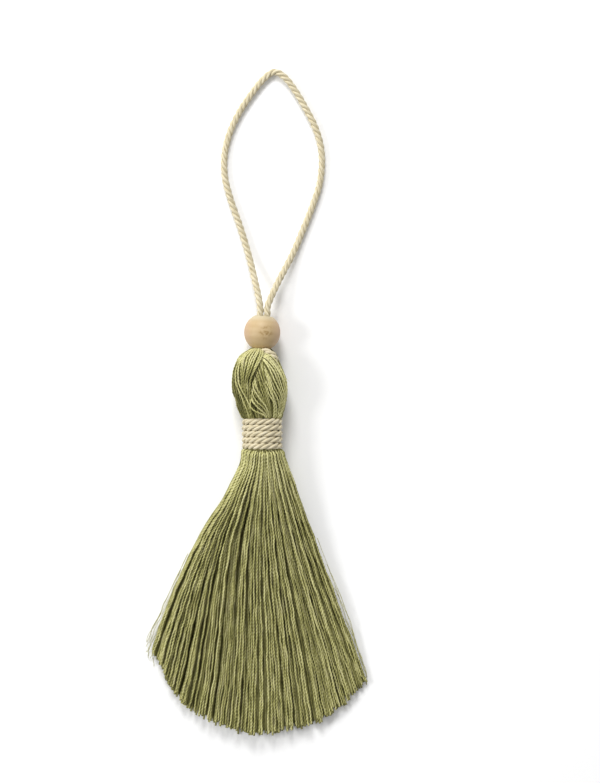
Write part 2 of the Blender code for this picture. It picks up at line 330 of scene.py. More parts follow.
def ramped(tree, source, stops):
    """A value turned into colour by a ramp of (place, colour) stops."""
    node = add(tree, "ShaderNodeValToRGB", {"Fac": source})
    ramp = node.color_ramp
    while len(ramp.elements) < len(stops):
        ramp.elements.new(0.5)
    for element, (place, colour) in zip(ramp.elements, stops):
        element.position = place
        element.color = linear(colour)
    return node.outputs["Color"]


def mixed(tree, share, first, code):
    """The first colour, with a share of the colour written as a code."""
    inputs = {0: share, 6: first, 7: linear(code)}
    return add(tree, "ShaderNodeMix", inputs, data_type="RGBA").outputs[2]


def attribute(tree, name):
    return add(tree, "ShaderNodeAttribute", attribute_name=name).outputs["Fac"]


def finish_shader(tree, shader, colour, height, strength, depth):
    """Feeds the shader its colour, and a bump of some depth from a height."""
    bump = add(tree, "ShaderNodeBump", {"Strength": strength, "Distance": depth, "Height": height})
    tree.links.new(colour, shader.inputs["Base Color"])
    tree.links.new(bump.outputs["Normal"], shader.inputs["Normal"])


def spun_yarn():
    """Two-ply yarn of linen and cotton, dyed sage: dull, with pale and dark fibres
    that lie side by side, straw-coloured slubs, and greyer stretches."""
    made, tree, shader = new_material(
        "sage linen and cotton yarn",
        Roughness=0.75,
        Sheen_Weight=0.06,
        Sheen_Roughness=0.45,
        Specular_IOR_Level=0.3,
    )
    shader.inputs["Sheen Tint"].default_value = linear("E6E2B4")
    place = add(tree, "ShaderNodeUVMap", uv_map=YARN_MAP).outputs["UV"]
    fibre = noise(tree, place, (1.1 * MM, 0.24 * MM), 3.0, 0.6)
    patches = noise(tree, place, (9.0 * MM, 3.0 * MM), 2.0)
    # The tone value holds each yarn's own tone together with the painted highlight and painted
    # shade laid on when the yarns are built
    leaning = maths(tree, "MULTIPLY_ADD", attribute(tree, "tone"), 0.55, -0.475)
    shade = maths(tree, "MULTIPLY_ADD", maths(tree, "ADD", fibre, patches), 0.7, leaning)
    dyed = ramped(tree, shade, (
        (0.22, "515023"),
        (0.42, "7B7843"),
        (0.58, "9A9759"),
        (0.8, "C6C287"),
        (0.95, "DEDAA2"),
    ))
    greyed = mixed(tree, fading(tree, patches, 0.56, 0.72, 0.0, 0.55), dyed, "8A8262")
    coloured = mixed(tree, attribute(tree, "slub"), greyed, "C2BE87")
    finish_shader(tree, shader, coloured, fibre, 0.35, 0.1 * MM)
    return made


def laid_cotton():
    """Three-strand cotton cord: ivory, with a soft silky shine along its fine yarns."""
    made, tree, shader = new_material(
        "ivory laid cotton cord",
        Roughness=0.62,
        Sheen_Weight=0.08,
        Sheen_Roughness=0.4,
        Specular_IOR_Level=0.4,
    )
    shader.inputs["Sheen Tint"].default_value = linear("FFF6DC")
    place = add(tree, "ShaderNodeUVMap", uv_map=YARN_MAP).outputs["UV"]
    yarns = noise(tree, place, (3.5 * MM, 0.25 * MM), 3.0, 0.55)
    colour = ramped(tree, yarns, ((0.25, "A49877"), (0.45, "CABE9D"), (0.7, "DFD7BE")))
    finish_shader(tree, shader, colour, yarns, 0.5, 0.12 * MM)
    return made


def turned_wood(middle):
    """Turned and sanded pale hardwood without varnish: low contrast growth rings
    that the round shape cuts into curved figure, uneven darker rings round an eye
    near the middle, and short dark pores. The wood is rosier at both flanks, and
    has a painted highlight, a paler colour towards the upper mouth."""
    made, tree, shader = new_material(
        "sanded pale hardwood", Roughness=0.5, Specular_IOR_Level=0.4
    )
    place = add(tree, "ShaderNodeTexCoord").outputs["Object"]
    shift = {"Vector": place, "Location": tuple(-c for c in middle)}
    centred = add(tree, "ShaderNodeMapping", shift, vector_type="POINT").outputs["Vector"]
    rotation = {"Vector": centred, "Rotation": (radians(8), radians(20), radians(6))}
    turned = add(tree, "ShaderNodeMapping", rotation).outputs["Vector"]
    growth = add(
        tree,
        "ShaderNodeTexWave",
        {
            "Vector": turned,
            "Scale": 0.32 / RING_SPACING,
            "Distortion": 7.0,
            "Detail": 2.0,
            "Detail Scale": 0.3,
        },
        wave_type="BANDS",
        bands_direction="Y",
    )
    blotches = {"Vector": centred, "Scale": 1 / (1.6 * MM), "Detail": 2.0}
    uneven = add(tree, "ShaderNodeTexNoise", blotches).outputs["Fac"]

    # Rings round the eye: the sine of the distance from it, bent by noise
    ends = {0: centred, 1: WOOD_EYE}
    from_eye = add(tree, "ShaderNodeVectorMath", ends, operation="DISTANCE").outputs["Value"]
    round_eye = maths(tree, "MULTIPLY_ADD", from_eye, 2 * pi / RING_SPACING, 0.6)
    eye_rings = maths(tree, "SINE", maths(tree, "MULTIPLY_ADD", uneven, 14.0, round_eye))
    near_eye = fading(tree, from_eye, 0.8 * MM, 4.6 * MM, 0.36, 0.0, smooth=True)
    eye = maths(tree, "MULTIPLY_ADD", eye_rings, near_eye, near_eye)
    ringed = maths(tree, "MULTIPLY_ADD", growth.outputs["Fac"], 0.4, eye)
    figure = ramped(tree, ringed, ((0.0, "BDA57D"), (0.45, "B89F76"), (1.0, "977C4C")))

    pores = noise(tree, turned, (0.35 * MM, 1.8 * MM, 0.35 * MM), 3.0, 0.6, "3D")
    pored = mixed(tree, fading(tree, pores, 0.6, 0.78, 0.0, 0.35), figure, "8E6E46")
    apart = add(tree, "ShaderNodeSeparateXYZ", {"Vector": centred})
    aside = maths(tree, "ABSOLUTE", apart.outputs["X"])
    flank = fading(tree, aside, 3.5 * MM, 8 * MM, 0.0, 0.45, smooth=True)
    rosy = mixed(tree, flank, pored, "BD9A82")
    # Painted highlight: paler towards the bead's upper mouth, where the light falls on its top
    upper_painted_highlight = fading(tree, apart.outputs["Y"], 4 * MM, 7 * MM, 0.0, 0.7, smooth=True)
    whole = mixed(tree, upper_painted_highlight, rosy, "C3B99C")
    finish_shader(tree, shader, whole, pores, 0.25, 0.05 * MM)
    return made


def white_paper():
    """Matt white card under the tassel."""
    made, _, shader = new_material("matt white card", Roughness=0.9, Specular_IOR_Level=0.1)
    shader.inputs["Base Color"].default_value = linear("FAFAFA")
    return made


def finish_piece(piece, surface, slot, *nodes):
    piece.data.materials.append(surface)
    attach(piece, BODY)
    if nodes:
        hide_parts(*nodes)
    return piece


# Cord: hanging loop and binding


# The short cord on the head's shoulder, as (x, y, lift) in millimetres: its place seen
# from above, and how far its middle lies over the head's surface
SHOULDER_CORD = (
    (1.2, 107.0, -1.5),
    (2.8, 106.3, -0.7),
    (4.4, 105.3, -0.2),
    (5.9, 104.0, -0.5),
    (7.0, 102.2, -1.4),
    (7.7, 100.2, -2.7),
)


# The loop's centreline, as (x, y, z) in millimetres
LOOP_ROUTE = (
    (-2.35, 108.7, 8.0),
    (-1.65, 115.4, 8.0),
    (-0.8, 122.6, 8.0),
    (-0.95, 126.4, 7.8),
    (-1.85, 131.6, 6.8),
    (-3.4, 138.5, 4.9),
    (-6.1, 149.4, 2.4),
    (-9.7, 161.5, 1.7),
    (-13.9, 173.6, 1.6),
    (-16.7, 184.6, 1.6),
    (-16.6, 195.4, 1.6),
    (-13.9, 205.2, 1.6),
    (-9.3, 214.4, 1.6),
    (-3.4, 222.9, 1.6),
    (1.2, 228.2, 1.6),
    (5.4, 230.7, 1.6),
    (9.8, 228.4, 1.6),
    (14.2, 222.9, 1.6),
    (19.4, 214.2, 1.6),
    (23.9, 205.0, 1.6),
    (26.3, 194.6, 1.6),
    (25.7, 182.6, 1.6),
    (22.3, 171.4, 1.6),
    (17.7, 159.8, 1.7),
    (13.2, 149.4, 2.4),
    (7.6, 138.5, 4.9),
    (4.4, 131.6, 6.8),
    (2.4, 126.4, 7.8),
    (2.25, 122.6, 8.0),
    (1.55, 115.4, 8.0),
    (0.85, 108.7, 8.0),
)


def laid_cord(path, up, lay=CORD_LAY, uneven=0.0):
    """Rings of three strands laid round a path: each strand's middle runs on a
    helix round it, once in a lay, give or take an uneven part that two slow sines
    add, and each strand is a round tube."""
    over, aside = crossways(path, up)
    length = length_along(path)
    drift = np.sin(length / (3.7 * MM) + 0.6) + np.sin(length / (6.1 * MM) + 2.0)
    turn = CORD_HAND * (2 * pi * length / lay + uneven * drift)
    start = 2 * pi * np.arange(CORD_STRANDS)[:, None] / CORD_STRANDS
    angle = (turn[None] + start)[..., None]
    strands = path + CORD_HELIX * (np.cos(angle) * aside + np.sin(angle) * over)
    return tube_rings(strands, up, CORD_STRAND_RADIUS, 12)


def build_hanging_loop(cotton):
    path = evenly(through(np.array(LOOP_ROUTE) * MM, 3000), CORD_RING_STEP)
    loop = tubes("loop_cord", laid_cord(path, (0.0, 0.0, 1.0)))
    finish_piece(loop, cotton, "cord", "hanging_loop")


def build_binding(cotton):
    """Five turns of cord round the neck. Along a turn the cord's middle goes round
    an ellipse; it rises slightly across the front and the rest of a pitch behind.
    Both ends slip inwards under the turns at the back."""
    middle = (binding_low + binding_high) / 2
    half_width = (binding_high.x - binding_low.x) / 2 - CORD_DIAMETER / 2
    half_depth = (binding_high.z - binding_low.z) / 2 - CORD_DIAMETER / 2
    turns = np.linspace(-0.08, TURNS + 0.08, 2400)
    angle = 2 * pi * (turns - 0.5)
    number = np.clip(np.floor(turns), 0, TURNS - 1)
    share = np.clip(turns - number, 0.0, 1.0)
    front_rise = (0.25 + 0.12 * number) * MM
    ramp = np.interp(share, (0.0, 0.25, 0.75, 1.0), (-0.5, 0.0, 0.0, 0.5))
    level = np.interp(share, (0.0, 0.25, 0.75, 1.0), (-0.5, -0.5, 0.5, 0.5)) * front_rise
    height = (number + 0.5) * TURN_PITCH + level + ramp * (TURN_PITCH - front_rise)
    height = np.clip(height, 0.5 * TURN_PITCH, (TURNS - 0.5) * TURN_PITCH)
    tucked = eased((0.08 - turns) / 0.16) + eased((turns - TURNS + 0.08) / 0.16)
    inwards = 2.4 * MM * tucked
    path = np.stack(
        (
            middle.x + (half_width - inwards) * np.sin(angle),
            binding_low.y + height,
            middle.z + (half_depth - inwards) * np.cos(angle),
        ),
        axis=-1,
    )
    path = evenly(path, CORD_RING_STEP)
    binding = tubes("binding_cord", laid_cord(path, (0.0, 1.0, 0.0), 10.0 * MM, 0.35))
    finish_piece(binding, cotton, "cord", "neck_binding")


def build_cord_under_bead(cotton):
    """The short stretch of the loop's cord that shows beside the bead's foot, where
    it crosses the head's right shoulder before the yarn covers it."""
    table = np.array(SHOULDER_CORD) * MM
    x, y, lift = through(table, 160).T
    half_width, _, middle_x, _ = head_size(y)
    angle = np.arcsin(np.clip((x - middle_x) / half_width, -1.0, 1.0))
    path = on_head(angle, y, lift)
    cord = tubes("shoulder_cord", laid_cord(path, head_up(path)))
    finish_piece(cord, cotton, "cord")


# Bead


def build_bead():
    """A turned bead: its half section is an oval between two rounded mouths and a
    straight bore, carried once round the axis."""
    middle = (bead_low + bead_high) / 2
    radius = (bead_high.z - bead_low.z) / 2
    mouth = BEAD_BORE + BEAD_MOUTH_ROUND
    angle = np.linspace(1.0, -1.0, 48) * np.arccos(mouth / radius)
    outside = np.stack((radius * np.cos(angle), BEAD_HALF_HEIGHT * np.sin(angle)), axis=-1)
    lip = outside[0, 1] - BEAD_MOUTH_ROUND
    round_angle = np.linspace(0.0, pi / 2, 7)[:-1]
    upper_lip = np.stack(
        (
            mouth - BEAD_MOUTH_ROUND * np.cos(round_angle),
            lip + BEAD_MOUTH_ROUND * np.sin(round_angle),
        ),
        axis=-1,
    )
    lower_lip = upper_lip[::-1] * (1.0, -1.0)
    bore = np.stack((np.full(10, BEAD_BORE), np.linspace(-lip, lip, 12)[1:-1]), axis=-1)
    profile = np.concatenate((upper_lip, outside, lower_lip, bore))
    around = 2 * pi * np.arange(BEAD_SIDES) / BEAD_SIDES
    wobble = 1 + 0.004 * np.sin(3 * around + 0.7)[:, None]
    x = profile[:, 0] * wobble * np.sin(around)[:, None]
    z = profile[:, 0] * wobble * np.cos(around)[:, None]
    y = profile[:, 1] + 0 * x
    lean_x = x * np.cos(BEAD_LEAN) + y * np.sin(BEAD_LEAN)
    lean_y = y * np.cos(BEAD_LEAN) - x * np.sin(BEAD_LEAN)
    points = np.stack((lean_x, lean_y, z), axis=-1) + np.array(middle)
    grid = np.arange(points[..., 0].size).reshape(points.shape[:2])
    beside = np.roll(grid, -1, axis=0)
    quads = np.stack((grid, np.roll(grid, -1, 1), np.roll(beside, -1, 1), beside), axis=-1)
    bead = mesh_object(
        "turned_bead", points.reshape(-1, 3), quads.reshape(-1, 4), np.zeros((0, 3), int), {}, {}
    )
    finish_piece(bead, turned_wood(middle), "bead", "bead")


# Yarn


def wander(rng, tubes_count, steps, cycles, size):
    """Smooth wavering along each tube: three sines of random phase, the next one
    faster and smaller."""
    share = np.linspace(0.0, 1.0, steps)
    total = np.zeros((tubes_count, steps))
    for octave in range(3):
        phase = rng.random((tubes_count, 1))
        speed = cycles * 1.9**octave * (0.7 + 0.6 * rng.random((tubes_count, 1)))
        total += np.sin(2 * pi * (speed * share + phase)) / 1.8**octave
    return total * size / 1.6


def slubs(rng, count, length, often, longest):
    """Share of a slub at each ring: a bell curve at random places along a yarn."""
    steps = length.shape[1]
    total = np.zeros((count, steps))
    for _ in range(3):
        place = rng.random((count, 1)) * length[:, -1:]
        width = longest * (0.25 + 0.75 * rng.random((count, 1)))
        there = rng.random((count, 1)) < often
        total += there * np.exp(-(((length - place) / width) ** 2))
    return np.clip(total, 0.0, 1.0)


def yarn_piece(
    name, rng, paths, up, surface, sides=8, radius=YARN_RADIUS, tone=0.5, spread=0.1, plies=True
):
    """Two-ply yarns along the paths: the section turns with the plies' twist, and
    swells at a slub. Yarns out of sight are plain round ones. No yarn sinks into
    the table. The outer side of a yarn has a painted highlight, a paler tone than
    its flanks, and the flanks and the groove between its plies have painted shade,
    a darker tone: a guess made for looks, over the light's own shading."""
    count = len(paths)
    paths = np.maximum(paths, (-np.inf, -np.inf, 1.15 * radius))
    length = length_along(paths)
    slub = 0.7 * slubs(rng, count, length, 0.16, 4.5 * MM)
    girth = 1 + 0.08 * wander(rng, count, paths.shape[1], 6.0, 1.0) + 0.3 * slub
    girth *= 0.92 + 0.16 * rng.random((count, 1))
    turn = YARN_HAND * 2 * pi * (length / PLY_TURN + rng.random((count, 1)))
    if plies:
        rings = tube_rings(paths, up, radius * girth, sides, turn, two_plies)
    else:
        rings = tube_rings(paths, up, 0.84 * radius * girth, sides)
    shade = np.asarray(tone) + spread * rng.standard_normal((count, 1))
    shade = shade + 0.09 * wander(rng, count, paths.shape[1], 9.0, 1.0)
    # Painted highlight on each yarn's outer side, and painted shade on its flanks and in the
    # groove between its plies
    angle = 2 * pi * np.arange(sides) / sides
    painted_crest = np.clip(np.cos(angle), 0.0, 1.0) ** 2
    shade = shade[..., None] + CREST_PAINTED_HIGHLIGHT * (1.7 * painted_crest - 0.6)
    if plies:
        shade = shade + GROOVE_PAINTED_SHADE * (two_plies(pi / 2 + angle - turn[..., None]) - 0.75)
    values = {"tone": np.clip(shade, 0.0, 1.3), "slub": slub}
    return finish_piece(tubes(name, rings, values), surface, "yarn")


# Skirt


# The line on which the skirt is cut, as (x, y) in millimetres
CUT_LINE = (
    (-47.8, -26.0),
    (-45.2, -30.4),
    (-43.2, -35.6),
    (-41.6, -40.6),
    (-36.8, -46.4),
    (-31.6, -51.4),
    (-22.8, -56.2),
    (-15.4, -59.2),
    (-6.0, -61.8),
    (5.4, -61.6),
    (16.0, -59.2),
    (24.8, -56.2),
    (33.0, -51.6),
    (38.0, -46.4),
    (43.6, -41.0),
    (45.4, -38.4),
)

FAN_MIDDLE = np.array((0.9, 84.7)) * MM  # where the strands' lines would meet
CUT = np.array(CUT_LINE) * MM - FAN_MIDDLE
CUT_ANGLE = np.arctan2(CUT[:, 0], -CUT[:, 1])
CUT_REACH = np.linalg.norm(CUT, axis=-1)
FAN_TURN = CUT_ANGLE[[0, -1]].mean()  # angle of the fan's own middle line
FAN_HALF = (CUT_ANGLE[-1] - CUT_ANGLE[0]) / 2
FAN_START = 17.5 * MM  # from there to the strands' hidden start
FAN_NECK = 23.2 * MM  # from there to where they have their full room
FAN_FULL = 130.0 * MM  # from there to where the fan is fully spread
FAN_END = 152.0 * MM
NECK_HALF_WIDTH = 8.8 * MM  # of the strands' middles below the binding
NECK_HALF_DEPTH = 7.7 * MM
NECK_MIDDLE_X = 0.2 * MM
NECK_MIDDLE_Z = 8.9 * MM
SQUEEZE = 0.6  # how far the strands are drawn in under the binding
TIP_RISE = 4.2 * MM  # how much higher the top strands end in the middle
TIP_EDGE = 2.4 * MM
LEFT_BELLY = 3.6 * MM  # how far the left edge bulges halfway down
LEFT_DRAWN_IN = 1.8 * MM  # and how far it is held back near the neck
LEFT_SLOPE = 0.42  # angle from the middle at which that is felt in full
LEFT_LEAD = 0.36  # how much sooner the left strands slant, in half fans
STRANDS = 244
BACK_STRANDS = 112
BACK_SPREAD = 0.985  # width of the back strands, in half fans
STATION_STEP = 3.0 * MM
LOCKS = 46
LOCK_PULL = 0.3


def push_apart(wanted, size, rounds):
    """Places (strands, stations, 2) moved until few strands overlap. In each round
    every two strands nearer than their size move apart along the line between
    them, each strand drifts back towards its wanted place, stays above the
    surface, and is smoothed along its length."""
    place = wanted.copy()
    for _ in range(rounds):
        side, height = place[..., 0], place[..., 1]
        beside = side[:, None] - side
        above = height[:, None] - height
        nearness = np.sqrt(beside**2 + above**2 + 1e-12)
        share = 0.28 * np.clip(size / nearness - 1.0, 0.0, 1.0)
        place[..., 0] += (share * beside).sum(axis=1)
        place[..., 1] += (share * above).sum(axis=1)
        place += 0.05 * (wanted - place)
        place[..., 1] = np.maximum(place[..., 1], 0.55 * size)
        place[:, 1:-1] = (place[:, :-2] + 2 * place[:, 1:-1] + place[:, 2:]) / 4
    return place


def fan_share(arc):
    """How far down the fan each arc lies: 0 at the neck, 1 where it is fully spread."""
    return np.clip((arc - FAN_NECK) / (FAN_FULL - FAN_NECK), 0.0, 1.2)[None]


def squeeze(arc):
    """Share of their room that the strands have on each arc, from under the binding
    to just below it."""
    return SQUEEZE + (1 - SQUEEZE) * eased((arc - 19.8 * MM) / (3.2 * MM))


def left_belly(across, along):
    """How far the strands left of the middle bulge: a sine down the fan."""
    return LEFT_BELLY * np.clip(-across, 0, 1) * np.sin(pi * np.clip(along, 0, 1) ** 1.5)


def skirt_strands(rng):
    """Every strand of the skirt as places on arcs round the fan's middle: distance
    along the arc, and height. Also each strand's place across the fan and its
    depth, 0 at the top.

    In the neck the strands fill an ellipse. Strand i lies at the square root of
    its share of the count from the middle, turned by the golden angle. Lower down
    they spread to a thin layer: a strand's place across is the share of the
    ellipse on its left, and its depth is its place in its own column. Left of the
    middle the strands leave the neck at more of a slant than straight lines would
    have, and then hang down more nearly parallel."""
    number = np.arange(STRANDS) + 0.5
    reach = np.sqrt(number / STRANDS)
    turn = number * pi * (3 - 5**0.5)
    left_right = reach * np.sin(turn)
    column = np.sqrt(1 - left_right**2)
    up_down = reach * np.cos(turn) / column
    across = (left_right * column + np.arcsin(left_right)) * 2 / pi
    depth = (1 - up_down) / 2

    locks = (np.arange(LOCKS) + 0.5) / LOCKS * 2 - 1 + 0.016 * rng.standard_normal(LOCKS)
    strayed = across + 0.035 * rng.standard_normal(STRANDS)
    nearest = locks[np.abs(strayed[:, None] - locks).argmin(axis=1)]
    gathered = np.where(depth < 0.5, strayed + (nearest - strayed) * LOCK_PULL, across)
    gathered = np.clip(gathered, -1.0, 1.0)

    arc = np.arange(FAN_START, FAN_END, STATION_STEP)
    along = fan_share(arc)
    near_angle = FAN_TURN + FAN_HALF * left_right[:, None]
    far_angle = FAN_TURN + FAN_HALF * gathered[:, None]
    angle = near_angle + (far_angle - near_angle) * eased(along * 1.05)
    leftness = np.clip((0.5 - across[:, None]) / 1.5, 0.0, 1.0)
    led = leftness * np.sin(pi * leftness) * eased(along / 0.16)
    angle = angle - LEFT_LEAD * FAN_HALF * led * (1 - eased((along - 0.2) / 0.7))
    belly = left_belly(across[:, None], along)
    top = NECK_HALF_DEPTH * column[:, None]
    top_end = TIP_EDGE + TIP_RISE * (1 - across[:, None] ** 2)
    high = NECK_MIDDLE_Z + top + (top_end - NECK_MIDDLE_Z - top) * np.clip(along, 0, 1) ** 0.9
    low = NECK_MIDDLE_Z - top
    low = low + (0.65 * MM - low) * eased(along / 0.3)
    height = low + (high - low) * (1 - depth[:, None])
    wanted = np.stack((angle * arc - belly, height), axis=-1).astype(np.float32)
    settled = push_apart(wanted, 1.0 * MM, 36).astype(float)

    drawn_in = squeeze(arc)
    settled[..., 0] = FAN_TURN * arc + (settled[..., 0] - FAN_TURN * arc) * drawn_in
    settled[..., 1] = NECK_MIDDLE_Z + (settled[..., 1] - NECK_MIDDLE_Z) * drawn_in
    return arc, settled, across, depth


def back_strands(arc):
    """Even strands that lie on the surface under all the others, as places on the
    arcs: in the neck they follow the ellipse's underside."""
    across = ((np.arange(BACK_STRANDS) + 0.5) / BACK_STRANDS * 2 - 1)[:, None]
    along = fan_share(arc)
    drawn_in = squeeze(arc)
    belly = left_belly(across, along)
    near = np.sin(across * pi / 2) * drawn_in
    spread = FAN_HALF * BACK_SPREAD * (near + (across - near) * eased(along * 1.05))
    side = (FAN_TURN + spread) * arc - belly
    height = NECK_MIDDLE_Z - 0.96 * NECK_HALF_DEPTH * np.cos(across * pi / 2) * drawn_in
    height = height + (0.6 * MM - height) * eased(along / 0.3)
    return np.stack((side, height), axis=-1)


def strand_paths(rng, arc, settled, reach, step, wave):
    """Paths of strands from their places on the arcs, each cut at its own distance
    from the fan's middle, with a fine wave of their own."""
    count = len(settled)
    dense = through(settled, len(arc) * 8)
    dense_arc = np.linspace(arc[0], arc[-1], dense.shape[1])
    steps = int((np.median(reach) - FAN_START) / step)
    radius = FAN_START + (reach[:, None] - FAN_START) * np.linspace(0.0, 1.0, steps)
    index = (radius - dense_arc[0]) / (dense_arc[1] - dense_arc[0])
    below = np.clip(index.astype(int), 0, dense.shape[1] - 2)
    part = (index - below)[..., None]
    strand = np.arange(count)[:, None]
    place = dense[strand, below] * (1 - part) + dense[strand, below + 1] * part
    free = eased((radius - FAN_NECK) / (20.0 * MM))
    aside = place[..., 0] + wave * wander(rng, count, steps, 5.5, 1.0) * free
    drawn_in = eased((radius - 22.5 * MM) / (8.0 * MM))
    drawn_in = drawn_in * (1 - eased((radius - 44.0 * MM) / (22.0 * MM)))
    aside = aside + LEFT_DRAWN_IN * drawn_in * np.clip(-aside / (LEFT_SLOPE * radius), 0.0, 1.0)
    height = place[..., 1] + 0.9 * wave * wander(rng, count, steps, 6.0, 1.0) * free
    angle = aside / radius
    x = FAN_MIDDLE[0] + radius * np.sin(angle)
    y = FAN_MIDDLE[1] - radius * np.cos(angle)
    return np.stack((x, y, np.maximum(height, 0.56 * MM)), axis=-1)


def fibres(name, rng, paths, count, shortest, longest, surface, thickness=0.04 * MM, stand=1.0):
    """Loose fibres on yarns: each starts inside a yarn, leaves it at a random angle
    round it, leans along it, and bends as it goes. Every point is the start plus
    the lean along the yarn and the reach away from it, both growing with the
    share of the fibre's length, and a slow curl."""
    tube = rng.integers(len(paths), size=count)
    ring = rng.integers(4, paths.shape[1] - 2, size=count)
    start = paths[tube, ring]
    run = unit(paths[tube, ring + 1] - paths[tube, ring - 1])
    outward = unit(rng.standard_normal((count, 3)) + np.array((0.0, 0.0, 0.9)))
    outward = unit(outward - np.sum(outward * run, axis=-1, keepdims=True) * run)
    curl = unit(rng.standard_normal((count, 3)))
    length = (shortest + (longest - shortest) * rng.random(count) ** 2)[:, None, None]
    share = np.linspace(0.0, 1.0, 7)[None, :, None]
    lean = rng.choice((-1.0, 1.0), count, p=(0.3, 0.7))[:, None, None]
    reach = stand * (0.2 + 0.35 * rng.random(count))[:, None, None]
    points = start[:, None] + length * (
        0.8 * lean * share * run[:, None]
        + reach * share**0.8 * outward[:, None]
        + 0.25 * share**2 * curl[:, None]
    )
    points[..., 2] = np.maximum(points[..., 2], 0.1 * MM)
    taper = thickness * (1.0 - 0.6 * share[..., 0])
    rings = tube_rings(points, (0.3, 0.2, 1.0), taper + np.zeros(points.shape[:2]), 3)
    tone = np.repeat(rng.uniform(0.55, 1.0, (count, 1)), 7, axis=1)
    return finish_piece(tubes(name, rings, {"tone": tone, "slub": 0.4 * tone}), surface, "yarn")


# Stray plies: four points each, as (x, y, z) in millimetres
WISPS = (
    ((-33.0, 17.0, 2.6), (-40.6, 1.0, 2.8), (-46.6, -12.0, 2.2), (-51.8, -22.6, 1.4)),
    ((-36.0, 10.0, 2.4), (-42.4, -4.4, 2.6), (-47.6, -14.6, 2.4), (-52.0, -24.4, 1.0)),
    ((-38.0, 4.0, 2.2), (-43.6, -8.0, 2.6), (-48.6, -19.0, 2.2), (-51.2, -26.8, 0.9)),
    ((-39.0, 0.0, 2.2), (-44.8, -13.0, 2.4), (-49.4, -23.0, 1.8), (-50.8, -29.4, 0.7)),
    ((-40.0, -4.0, 2.0), (-45.2, -16.0, 2.2), (-48.8, -25.4, 1.6), (-49.6, -31.0, 0.6)),
    ((-41.0, -8.0, 2.0), (-45.8, -19.0, 2.0), (-48.6, -28.0, 1.2), (-48.2, -33.2, 0.5)),
    ((24.4, 24.0, 4.0), (30.6, 7.4, 3.6), (36.6, -9.6, 3.0), (41.4, -24.0, 2.0)),
    ((28.6, 12.4, 3.6), (34.6, -1.4, 3.4), (40.2, -17.6, 2.6), (44.4, -32.0, 1.2)),
    ((32.0, 2.0, 3.2), (38.4, -12.0, 2.8), (42.6, -25.6, 2.0), (46.2, -36.6, 0.8)),
    ((36.6, -12.0, 2.8), (41.4, -22.6, 2.4), (45.2, -34.0, 1.4), (46.4, -41.4, 0.5)),
)


def build_wisps(rng, surface):
    """Single plies that have come loose along both edges: two fine threads side by
    side along every listed line, each with a wave of its own."""
    lines = through(np.array(WISPS) * MM, 90)
    lines = np.repeat(lines, 2, axis=0)
    count, steps, _ = lines.shape
    spread = eased(np.linspace(0.0, 1.0, steps)) + 0.15
    for axis, size in ((0, 0.5), (1, 0.5), (2, 0.25)):
        lines[..., axis] += size * MM * wander(rng, count, steps, 2.0, 1.0) * spread
    lines[..., 2] = np.maximum(lines[..., 2], 0.2 * MM)
    radius = np.repeat(rng.uniform(0.05, 0.13, (count, 1)) * MM, steps, axis=1)
    rings = tube_rings(lines, (0.0, 0.0, 1.0), radius, 5)
    values = {"tone": np.full((count, steps), 0.7), "slub": np.full((count, steps), 0.15)}
    finish_piece(tubes("skirt_wisps", rings, values), surface, "yarn")


def build_skirt(yarn):
    """The strands from the top down, with their loose fibres. The back ones have
    their painted highlight underneath and painted shade on their upper side."""
    up = (0.0, 0.0, 1.0)
    rng = np.random.default_rng(21)
    arc, settled, across, depth = skirt_strands(rng)
    reach = np.interp(settled[:, -8, 0] / arc[-8], CUT_ANGLE, CUT_REACH)
    reach = reach + 0.8 * MM * rng.standard_normal(STRANDS) + 0.8 * MM * depth
    order = np.argsort(depth)
    order = order[: STRANDS // 2], order[STRANDS // 2 :]

    seen = order[0][np.argsort(across[order[0]])]
    paths = strand_paths(rng, arc, settled[seen], reach[seen], 0.47 * MM, 0.26 * MM)
    # Painted highlight: the top strands are paler in the skirt's upper part, towards the neck
    tone = 0.56 + 0.24 * eased((paths[..., 1] - 30.0 * MM) / (28.0 * MM))
    for number, name in enumerate(("left", "middle", "right")):
        part = slice(number * len(seen) // 3, (number + 1) * len(seen) // 3)
        yarn_piece(f"skirt_top_{name}", rng, paths[part], up, yarn, sides=6, tone=tone[part])

    fibres("skirt_fibres", rng, paths, 1300, 1.5 * MM, 6.0 * MM, yarn)
    fibres("cut_fibres", rng, paths[:, -9:], 420, 0.8 * MM, 2.6 * MM, yarn, stand=0.5)
    build_wisps(rng, yarn)

    back = back_strands(arc)
    back_reach = np.interp(back[:, -8, 0] / arc[-8], CUT_ANGLE, CUT_REACH)
    back_reach = back_reach + 0.7 * MM * rng.standard_normal(BACK_STRANDS)
    paths = strand_paths(rng, arc, back, back_reach, 2.2 * MM, 0.1 * MM)
    # Up points down here, so the painted highlight is on the underside and the upper side has
    # painted shade
    yarn_piece(
        "skirt_back",
        rng,
        paths,
        (0.0, 0.0, -1.0),
        yarn,
        sides=5,
        radius=0.64 * MM,
        tone=0.5,
        plies=False,
    )

    # The strands under the top layer get a darker tone: painted shade under the top strands
    under = order[1][np.argsort(across[order[1]])]
    paths = strand_paths(rng, arc, settled[under], reach[under], 1.6 * MM, 0.15 * MM)
    for number, name in enumerate(("left", "right")):
        part = slice(number * len(under) // 2, (number + 1) * len(under) // 2)
        yarn_piece(
            f"skirt_under_{name}", rng, paths[part], up, yarn, sides=6, tone=0.4, plies=False
        )


# Head


class HeadSection(NamedTuple):
    """A cross-section of the head, in millimetres."""

    y: float
    half_width: float
    half_depth: float
    middle_x: float
    middle_z: float


